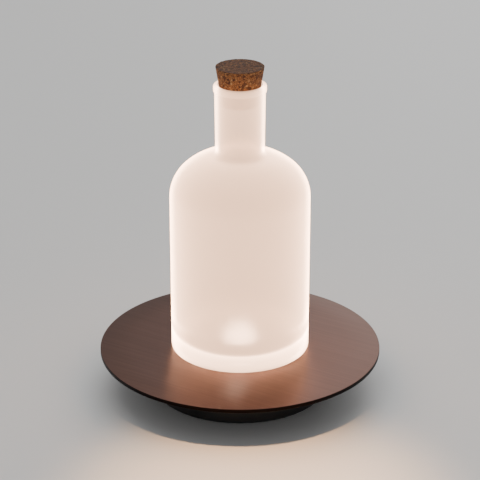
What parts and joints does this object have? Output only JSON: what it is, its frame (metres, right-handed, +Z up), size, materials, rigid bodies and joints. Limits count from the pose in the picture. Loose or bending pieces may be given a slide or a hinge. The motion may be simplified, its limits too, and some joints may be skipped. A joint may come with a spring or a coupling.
{
  "type": "frosted bottle lamp",
  "caption": "Corked frosted-glass bottle lit from below, lifted off a round brushed bronze plate on a black foot that holds its LED, battery and button.",
  "frame": {"origin": "on the surface the lamp stands on, at the bottle's axis", "axes": "+Z up along the bottle's axis, +Y towards the side with the charging inlet and the button, +X to the right seen from the front"},
  "size_m": [0.18, 0.18, 0.2159],
  "materials": {
    "frosted_glass": "acid-etched satin glass",
    "cork": "agglomerated cork, matt",
    "bronze_plate": "brushed, bronze-brown anodised",
    "silicone": "matt silicone",
    "opal_plastic": "opal diffuser, lit from inside",
    "black_plastic": "moulded, fine texture",
    "black_metal": "satin powder coat",
    "black_rubber": "matt",
    "turned_aluminium": "turned",
    "zinc_steel": "zinc plated",
    "white_board": "white solder mask on aluminium",
    "led_phosphor": "phosphor-filled silicone, lit",
    "green_board": "solder mask on glass epoxy",
    "chip_epoxy": "moulded epoxy",
    "tinned_steel": "tinned",
    "ferrite": "pressed ferrite",
    "white_nylon": "moulded nylon",
    "button_plastic": "satin",
    "battery_foil": "laminated pouch foil",
    "foam": "closed-cell foam tape",
    "red_sleeve": "PVC sleeve",
    "black_sleeve": "PVC sleeve"
  },
  "bodies": {
    "base": {"plate": "bronze_plate", "seat_ring": "silicone", "lens": "opal_plastic", "lens_ring": "black_plastic", "led_module": "led_phosphor", "led_board": "white_board", "heat_sink": "turned_aluminium", "foot": "black_metal", "bottom_cover": "black_plastic", "foot_pad": "black_rubber", "control_board": "green_board", "controller_module": "tinned_steel", "charger_chip": "chip_epoxy", "led_driver_chip": "chip_epoxy", "inductor": "ferrite", "capacitor": "tinned_steel", "led_connector": "white_nylon", "battery_connector": "white_nylon", "charging_inlet": "tinned_steel", "inlet_tongue": "chip_epoxy", "switch_body": "chip_epoxy", "battery": "battery_foil", "battery_pad": "foam", "battery_wire_red": "red_sleeve", "battery_wire_black": "black_sleeve", "led_wire_red": "red_sleeve", "led_wire_black": "black_sleeve", "sink_screw_1": "zinc_steel", "sink_screw_2": "zinc_steel", "sink_screw_3": "zinc_steel", "plate_screw_1": "zinc_steel", "plate_screw_2": "zinc_steel", "plate_screw_3": "zinc_steel", "lens_screw_1": "zinc_steel", "lens_screw_2": "zinc_steel", "cover_screw_1": "zinc_steel", "cover_screw_2": "zinc_steel", "cover_screw_3": "zinc_steel", "cover_screw_4": "zinc_steel", "board_screw_1": "zinc_steel", "board_screw_2": "zinc_steel", "board_screw_3": "zinc_steel"},
    "bottle": {"bottle": "frosted_glass"},
    "stopper": {"stopper": "cork"},
    "button": {"button_cap": "button_plastic", "switch_plunger": "white_nylon"}
  },
  "joints": [
    {"name": "bottle_lift", "type": "slide", "parent": "base", "child": "bottle", "axis": [0, 0, 1], "range_m": [0, 0.06]},
    {"name": "stopper_pull", "type": "slide", "parent": "bottle", "child": "stopper", "axis": [0, 0, 1], "range_m": [0, 0.04]},
    {"name": "button_press", "type": "slide", "parent": "base", "child": "button", "axis": [0, -1, 0], "range_m": [0, 0.0006], "stiffness_N_per_m": 1500}
  ]
}
